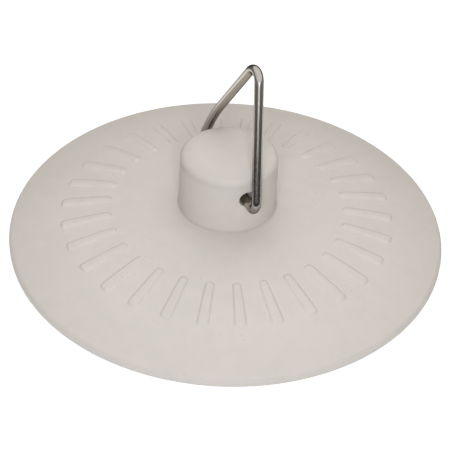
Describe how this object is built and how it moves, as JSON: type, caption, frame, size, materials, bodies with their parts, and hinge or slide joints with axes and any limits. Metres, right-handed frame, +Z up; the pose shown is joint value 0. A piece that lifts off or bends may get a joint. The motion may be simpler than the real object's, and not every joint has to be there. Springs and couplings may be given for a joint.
{
  "type": "drain stopper",
  "caption": "Flat universal drain stopper: a domed rubber disc with a round boss, lifted by a bent wire bail that swings in the boss.",
  "frame": {"origin": "centre of the flat sealing land under the disc's rim, on the axis of the boss", "axes": "+Z up along the boss, -Y towards the viewer of the picture, +X to the viewer's right"},
  "size_m": [0.11, 0.11, 0.0471],
  "materials": {
    "rubber": "matte moulded off-white rubber",
    "wire": "bright drawn steel wire"
  },
  "bodies": {
    "stopper": {"rubber_stopper": "rubber"},
    "bail": {"wire_bail": "wire"}
  },
  "joints": [
    {"name": "bail_swing", "type": "hinge", "parent": "stopper", "child": "bail", "pos_m": [0, 0, 0.01755], "axis": [-0.4067, 0.9135, 0], "range_deg": [-119, 94]}
  ]
}
